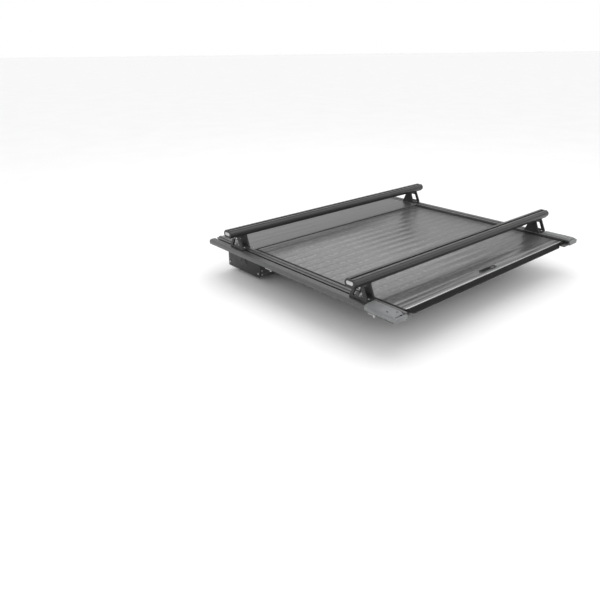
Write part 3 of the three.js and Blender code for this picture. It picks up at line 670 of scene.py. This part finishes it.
def canister_lid():
    """The lid: a rolled rear edge, fine grooves at the slats' spacing and screws into the rails."""
    rear, front = span("canister_lid", 1)
    bottom, top = span("canister_lid", 2)
    half = span("canister_lid", 0)[1]
    outline = [(front, bottom, 0.4), (front, top, 1.6)]
    groove = front - 30
    while groove > rear + 30:
        outline += [(groove + GROOVE_HALF, top, 0.25), (groove, top - GROOVE_DEPTH, 0.1),
                    (groove - GROOVE_HALF, top, 0.25)]
        groove -= SLAT_PITCH
    outline += [(rear + 6, top, 3), (rear, top - 2, 1.2), (rear, bottom + 0.8, 0.4), (rear + 1, bottom, 0.4)]
    bm = bmesh.new()
    prism(bm, filleted(outline, steps=3), "X", -half, half, bevel=0.5)
    dress(finish_mesh(bm, "canister_lid_shape"), "root", SLOT_OF["canister_lid"], "canister_lid")
    bm = bmesh.new()
    for _, side in SIDES:
        for y in (rear + 22, (rear + front) / 2, front - 22):
            socket_screw(bm, (side * (half - 16), y, top - 0.2), (0, 0, 1), 4.6, 2.4)
    for x in (-420, -140, 140, 420):
        socket_screw(bm, (x, front - 12, top - 0.2), (0, 0, 1), 4.6, 2.4)
    dress(finish_mesh(bm, "canister_lid_screws"), "root", "steel")
    refined("lid_wiper", 0.3)


def torsion_spring():
    """The balance spring as a smooth round wire inside the drum."""
    start, end = span("torsion_spring", 0)
    wire, coil, turns, steps, sides = 2.6, 18.0, 12, 28, 8
    bm = bmesh.new()
    rows = []
    for k in range(turns * steps + 1):
        angle = 2 * math.pi * k / steps
        out = Vector((0, math.cos(angle), math.sin(angle)))
        x = start + wire + (end - start - 2 * wire) * k / (turns * steps)
        centre = Vector((x, DRUM_Y, DRUM_Z)) + coil * out
        rows.append([bm.verts.new((centre + wire * (
            math.cos(2 * math.pi * j / sides) * out
            + math.sin(2 * math.pi * j / sides) * Vector((1, 0, 0)))) * MM) for j in range(sides)])
    bm.faces.new(rows[0])
    bm.faces.new(rows[-1][::-1])
    for low_row, high_row in zip(rows, rows[1:]):
        for j in range(sides):
            bm.faces.new((low_row[j - 1], low_row[j], high_row[j], high_row[j - 1]))
    dress(finish_mesh(bm, "torsion_spring_shape"), "root", "steel", "torsion_spring")


# ---------------------------------------------------------------- load bars
BAR_BOTTOM, BAR_TOP = span("rear_bar", 2)
BAR_HALF = span("rear_bar", 0)[1]
BAR_DEPTH_HALF = 30.0
FLANK_RADIUS = 18.0
CAP_X = span("rear_bar_right_end_cap", 0)[1]
LEG_OUTER = span("rear_bar_right_leg", 0)[1]
NUT_SEAT = 36.3         # top of a leg's foot, where its washer lies


def bar_outline(y, slotted):
    """The bar's section: flat top and bottom flanges between round flanks, and a T-slot."""
    middle = (BAR_TOP + BAR_BOTTOM) / 2
    angles = [math.radians(-68 + 136 * k / 18) for k in range(19)]
    flank = [(BAR_DEPTH_HALF - FLANK_RADIUS + FLANK_RADIUS * math.cos(t),
              middle + FLANK_RADIUS * math.sin(t), 0) for t in angles]
    half = [(22, BAR_BOTTOM, 1.2), *flank, (20, BAR_TOP, 1.2)]
    if slotted:
        half += [(5.5, BAR_TOP, 0.6), (5.5, BAR_TOP - 4, 0.3), (10.5, BAR_TOP - 4, 0.3),
                 (10.5, BAR_TOP - 12, 0.6)]
    whole = half + [(-a, b, radius) for a, b, radius in reversed(half)]
    return [(y + p[0], p[1]) for p in filleted(whole, steps=3)]


def load_bar(bar):
    y = sum(span(f"{bar}_bar", 1)) / 2
    body = f"{bar}_bar"
    bm = bmesh.new()
    prism(bm, bar_outline(y, slotted=True), "X", -BAR_HALF, BAR_HALF, bevel=0.3)
    dress(finish_mesh(bm, f"{bar}_bar_shape"), body, "bar_black", f"{bar}_bar")
    for side_name, side in SIDES:
        bar_end_cap(f"{bar}_bar_{side_name}_end_cap", body, y, side)
        bar_leg(f"{bar}_bar_{side_name}_leg", body, y, side)
        clamp_bolt(f"{bar}_bar_{side_name}_clamp_bolt", body, y, side)


def bar_end_cap(node, body, y, side):
    """A domed moulding over the bar's end, with a pale oval inlay standing just proud of it."""
    bm = bmesh.new()
    prism(bm, bar_outline(y, slotted=False), "X", side * (BAR_HALF + 0.3), side * CAP_X,
          bevel=1.6, segments=4)
    dress(finish_mesh(bm, f"{node}_shape", smooth_angle=50), body, "black_plastic", node)
    bm = bmesh.new()
    middle = (BAR_TOP + BAR_BOTTOM) / 2 + 2
    oval = filleted([(y - 19, middle - 8, 8), (y + 19, middle - 8, 8), (y + 19, middle + 8, 8),
                     (y - 19, middle + 8, 8)], steps=8)
    prism(bm, oval, "X", side * (CAP_X - 0.6), side * (CAP_X + 0.9), bevel=0.7, segments=3)
    dress(finish_mesh(bm, f"{node}_inlay", smooth_angle=50), body, "cap_grey")


def bar_leg(node, body, y, side):
    refined(node, 1.2, segments=3, angle=24)
    bm = bmesh.new()
    for along in (-9, 9):
        socket_screw(bm, (side * LEG_OUTER, y + along, 85), (side, 0, 0), 5.4, 4.2)
    for along in (-40, 40):
        socket_screw(bm, (side * (LEG_OUTER - 22), y + along, 36), (0, 0, 1), 4.2, 3)
    dress(finish_mesh(bm, f"{node}_screws"), body, "steel")


def clamp_bolt(node, body, y, side):
    """The T-bolt in the track, its threaded shank, washer and nut."""
    x = side * TRACK_X
    bm = bmesh.new()
    block(bm, (x - 11, y - 10, 13), (x + 11, y + 10, 19.6), bevel=0.8)
    thread = [(4.8 - 0.35 * (k % 2), 6 + 0.6 * k, "round") for k in range(56)]
    turned(bm, (x, y, 13), (0, 0, 1), [*thread, (4.0, 40.4, "round"), (3.6, 41, "round")])
    turned(bm, (x, y, NUT_SEAT), (0, 0, 1), [
        (9.6, 0, "round"), (10, 0.4, "round"), (10, 1.6, "round"), (9.6, 2, "round")], sides=32)
    hex_nut(bm, (x, y, NUT_SEAT + 1.9), 8.0, 7.6)
    dress(finish_mesh(bm, f"{node}_shape"), body, "steel", node)


# ---------------------------------------------------------------- the whole object
REFINED = {
    "handle_bezel": 0.5, "handle_lever": 0.8, "left_latch_bolt": 0.5, "right_latch_bolt": 0.5,
    "drum": 0.8, "drum_shaft": 0.8, "left_drum_bush": 0.4, "right_drum_bush": 0.4,
}


def make_cover():
    for node in SLATS:
        slat(node)
    end_slat()
    tail_seal()
    for side_name, side in SIDES:
        side_rail(side_name, side)
        rail_end_cover(side_name, side)
        sill_clamp(f"{side_name}_rear", side)
        sill_clamp(f"{side_name}_front", side)
        canister_end(side_name, side)
    canister_tray()
    canister_lid()
    torsion_spring()
    for bar in BARS:
        load_bar(bar)
    for node, width in REFINED.items():
        refined(node, width)


# ---------------------------------------------------------------- studio
def lamp(name, at, towards, size, power):
    data = bpy.data.lights.new(name, "AREA")
    data.shape = "RECTANGLE"
    data.size, data.size_y = size
    data.energy = power
    made = bpy.data.objects.new(name, data)
    bpy.context.scene.collection.objects.link(made)
    made.location = at
    made.rotation_mode = "QUATERNION"
    made.rotation_quaternion = (Vector(towards) - Vector(at)).to_track_quat("-Z", "Y")


# How light the room is at some heights, as the sine of the angle above the horizon.
ROOM_SHADES = ((0.20, 0.03), (0.29, 0.12), (0.37, 1.5))


def make_world():
    """A white backdrop, in a room with a dim band above the horizon that the flat surfaces reflect."""
    world = bpy.data.worlds.new("studio")
    world.use_nodes = True
    nodes, links = world.node_tree.nodes, world.node_tree.links
    direction = nodes.new("ShaderNodeTexCoord").outputs["Generated"]
    parts = nodes.new("ShaderNodeSeparateXYZ")
    ramp = nodes.new("ShaderNodeValToRGB")
    ramp.color_ramp.interpolation = "EASE"
    stops = ramp.color_ramp.elements
    stops[0].position, stops[0].color = 0.10, (1.0, 1.0, 1.0, 1.0)
    stops[1].position, stops[1].color = 1.0, (0.95, 0.95, 0.95, 1.0)
    for height, shade in ROOM_SHADES:
        stop = stops.new(height)
        stop.color = (shade, shade, shade, 1.0)
    links.new(direction, parts.inputs[0])
    links.new(parts.outputs["Z"], ramp.inputs["Fac"])
    seen = nodes.new("ShaderNodeLightPath").outputs["Is Camera Ray"]
    backdrop = nodes.new("ShaderNodeMix")
    backdrop.data_type = "RGBA"
    backdrop.inputs[7].default_value = (1.0, 1.0, 1.0, 1.0)
    links.new(seen, backdrop.inputs[0])
    links.new(ramp.outputs["Color"], backdrop.inputs[6])
    links.new(backdrop.outputs[2], nodes["Background"].inputs["Color"])
    bpy.context.scene.world = world


FLOOR_REACH = 150       # metres, so that its edge can't be told from the horizon


def make_studio():
    make_world()
    bpy.context.scene.view_settings.view_transform = "Standard"
    lamp("overhead", (0.2, 0.6, 3.2), (0, 0.6, 0), (3.6, 3.0), 35)
    lamp("rear_fill", (-3.5, -2.5, 2.2), (0, 0.5, 0), (2.5, 2.0), 35)

    floor_mesh = bpy.data.meshes.new("floor")
    bm = bmesh.new()
    bmesh.ops.create_grid(bm, x_segments=1, y_segments=1, size=FLOOR_REACH)
    bm.to_mesh(floor_mesh)
    bm.free()
    floor = link(floor_mesh, "floor")
    floor.location.z = cad_low[2] - 0.001
    paper = Surface("pale_paper", specular=0.2)
    paper.colour(paper.mix(paper.remap(paper.noise(2.0), 0.3, 0.7), grey(0.86), grey(0.88)))
    paper.roughness(paper.remap(paper.noise(40.0), 0.3, 0.7, 0.7, 0.8))
    floor_mesh.materials.append(paper.material)


make_camera()
make_studio()
make_cover()
